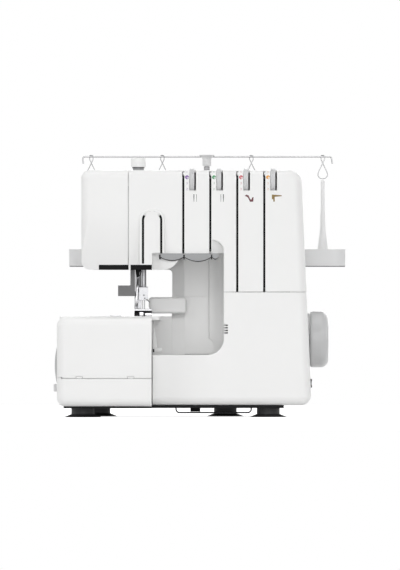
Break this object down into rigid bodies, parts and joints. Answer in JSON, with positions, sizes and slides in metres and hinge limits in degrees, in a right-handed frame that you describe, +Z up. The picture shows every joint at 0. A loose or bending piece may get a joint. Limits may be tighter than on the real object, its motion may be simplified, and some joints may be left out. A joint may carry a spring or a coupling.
{
  "type": "overlock sewing machine",
  "caption": "Domestic overlock sewing machine with swing-down looper cover, tension dials, presser foot, handwheel, spool stand and telescopic thread antenna.",
  "frame": {"origin": "middle of the bounding box, on the table under the feet", "axes": "+X to the right of the machine, +Y to its back, +Z up"},
  "size_m": [0.332, 0.278, 0.2979],
  "materials": {
    "white_cover": "smooth moulded satin",
    "light_grey_plastic": "smooth moulded satin",
    "grey_plastic": "fine ribbed",
    "black_plastic": "satin",
    "dark_metal": "satin paint",
    "steel": "brushed",
    "bright_steel": "polished plating",
    "cast_metal": "as cast",
    "bronze": "sintered bush",
    "rubber": "matte"
  },
  "bodies": {
    "machine": {"antenna_tube": "light_grey_plastic", "base_plate": "black_plastic", "bed_cover": "white_cover", "chain_cutter": "dark_metal", "cloth_plate": "white_cover", "cover_screws": "steel", "drive_belt": "rubber", "face_cover": "white_cover", "head_under_plate": "black_plastic", "looper_hinge_rod": "steel", "looper_skirt": "white_cover", "lower_front_cover": "white_cover", "lower_knife": "steel", "machine_frame": "cast_metal", "motor": "dark_metal", "needle_plate": "steel", "power_socket": "black_plastic", "presser_spring": "steel", "rear_cover": "white_cover", "shaft_bushes": "bronze", "spool_pins": "light_grey_plastic", "spool_tray": "light_grey_plastic", "suction_feet": "rubber", "take_up_cover": "white_cover", "take_up_liner": "black_plastic", "tension_brackets": "steel", "tension_stacks": "steel", "thread_channels": "black_plastic", "thread_lips": "grey_plastic", "throat_cover": "white_cover", "tray_rail": "bright_steel", "upper_front_cover": "white_cover"},
    "drive": {"main_shaft": "steel", "handwheel": "light_grey_plastic", "drive_pulley": "black_plastic"},
    "motor_rotor": {"motor_pulley": "black_plastic"},
    "needle_bar": {"needle_bar": "steel", "needle_clamp": "steel", "needles": "steel"},
    "presser_bar": {"presser_bar": "steel", "foot_holder": "steel", "presser_foot": "bright_steel"},
    "presser_lifter": {"presser_lifter": "white_cover"},
    "pressure_knob": {"pressure_knob": "white_cover"},
    "looper_cover": {"looper_cover": "white_cover"},
    "tension_dial_1": {"tension_dial_1": "grey_plastic"},
    "tension_dial_2": {"tension_dial_2": "grey_plastic"},
    "tension_dial_3": {"tension_dial_3": "grey_plastic"},
    "tension_dial_4": {"tension_dial_4": "grey_plastic"},
    "stitch_length_dial": {"stitch_length_dial": "light_grey_plastic"},
    "differential_lever": {"differential_lever": "light_grey_plastic"},
    "antenna_middle": {"antenna_middle": "steel"},
    "antenna_top": {"antenna_top": "light_grey_plastic", "thread_guide_bar": "bright_steel", "thread_hangers": "bright_steel"},
    "power_switch": {"power_switch": "black_plastic"},
    "lower_looper": {"lower_looper": "steel"},
    "upper_looper": {"upper_looper": "steel"},
    "upper_knife": {"upper_knife": "steel"},
    "feed_dogs": {"feed_dogs": "steel"}
  },
  "joints": [
    {"name": "handwheel_turn", "type": "hinge", "parent": "machine", "child": "drive", "pos_m": [0, 0.015, 0.0877], "axis": [1, 0, 0], "continuous": true},
    {"name": "motor_turn", "type": "hinge", "parent": "machine", "child": "motor_rotor", "pos_m": [0.071, -0.048, 0.042], "axis": [1, 0, 0], "continuous": true},
    {"name": "needle_bar_slide", "type": "slide", "parent": "machine", "child": "needle_bar", "axis": [0, 0, 1], "range_m": [0, 0.025]},
    {"name": "presser_lifter_swing", "type": "hinge", "parent": "machine", "child": "presser_lifter", "pos_m": [-0.0232, -0.02, 0.12625], "axis": [0, 1, 0], "range_deg": [0, 25]},
    {"name": "presser_bar_slide", "type": "slide", "parent": "machine", "child": "presser_bar", "axis": [0, 0, 1], "range_m": [0, 0.006], "deforming": ["presser_spring"]},
    {"name": "pressure_knob_turn", "type": "hinge", "parent": "machine", "child": "pressure_knob", "pos_m": [-0.0697, -0.037, 0.285], "axis": [0, 0, 1], "range_deg": [-360, 360]},
    {"name": "looper_cover_swing", "type": "hinge", "parent": "machine", "child": "looper_cover", "pos_m": [-0.1, -0.13775, 0.045], "axis": [1, 0, 0], "range_deg": [0, 95]},
    {"name": "tension_dial_1_turn", "type": "hinge", "parent": "machine", "child": "tension_dial_1", "pos_m": [-0.0088, -0.093, 0.267], "axis": [1, 0, 0], "range_deg": [-120, 150]},
    {"name": "tension_dial_2_turn", "type": "hinge", "parent": "machine", "child": "tension_dial_2", "pos_m": [0.0217, -0.093, 0.267], "axis": [1, 0, 0], "range_deg": [-120, 150]},
    {"name": "tension_dial_3_turn", "type": "hinge", "parent": "machine", "child": "tension_dial_3", "pos_m": [0.0522, -0.093, 0.267], "axis": [1, 0, 0], "range_deg": [-120, 150]},
    {"name": "tension_dial_4_turn", "type": "hinge", "parent": "machine", "child": "tension_dial_4", "pos_m": [0.0827, -0.093, 0.267], "axis": [1, 0, 0], "range_deg": [-120, 150]},
    {"name": "stitch_length_turn", "type": "hinge", "parent": "machine", "child": "stitch_length_dial", "pos_m": [-0.162, -0.02, 0.0583], "axis": [1, 0, 0], "range_deg": [-135, 135]},
    {"name": "differential_swing", "type": "hinge", "parent": "machine", "child": "differential_lever", "pos_m": [-0.16, -0.02, 0.0583], "axis": [1, 0, 0], "range_deg": [-20, 20]},
    {"name": "antenna_lower_slide", "type": "slide", "parent": "machine", "child": "antenna_middle", "axis": [0, 0, 1], "range_m": [0, 0.09]},
    {"name": "antenna_upper_slide", "type": "slide", "parent": "antenna_middle", "child": "antenna_top", "axis": [0, 0, 1], "range_m": [0, 0.095]},
    {"name": "power_switch_rock", "type": "hinge", "parent": "machine", "child": "power_switch", "pos_m": [0.12122, -0.056, 0.038], "axis": [0, 1, 0], "range_deg": [-7, 7]},
    {"name": "lower_looper_swing", "type": "hinge", "parent": "machine", "child": "lower_looper", "pos_m": [-0.104, -0.05, 0.052], "axis": [0, 1, 0], "range_deg": [-20, 0]},
    {"name": "upper_looper_swing", "type": "hinge", "parent": "machine", "child": "upper_looper", "pos_m": [-0.084, -0.05, 0.046], "axis": [0, 1, 0], "range_deg": [-16, 0]},
    {"name": "upper_knife_swing", "type": "hinge", "parent": "machine", "child": "upper_knife", "pos_m": [-0.0625, -0.034, 0.07], "axis": [-1, 0, 0], "range_deg": [0, 6]},
    {"name": "feed_slide", "type": "slide", "parent": "machine", "child": "feed_dogs", "axis": [0, 1, 0], "range_m": [-0.002, 0.002]}
  ],
  "couplings": [
    {"joint": "motor_turn", "follows": "handwheel_turn", "ratio": 4.6667},
    {"joint": "presser_lifter_swing", "follows": "presser_bar_slide", "rad_per_m": 72.72}
  ]
}
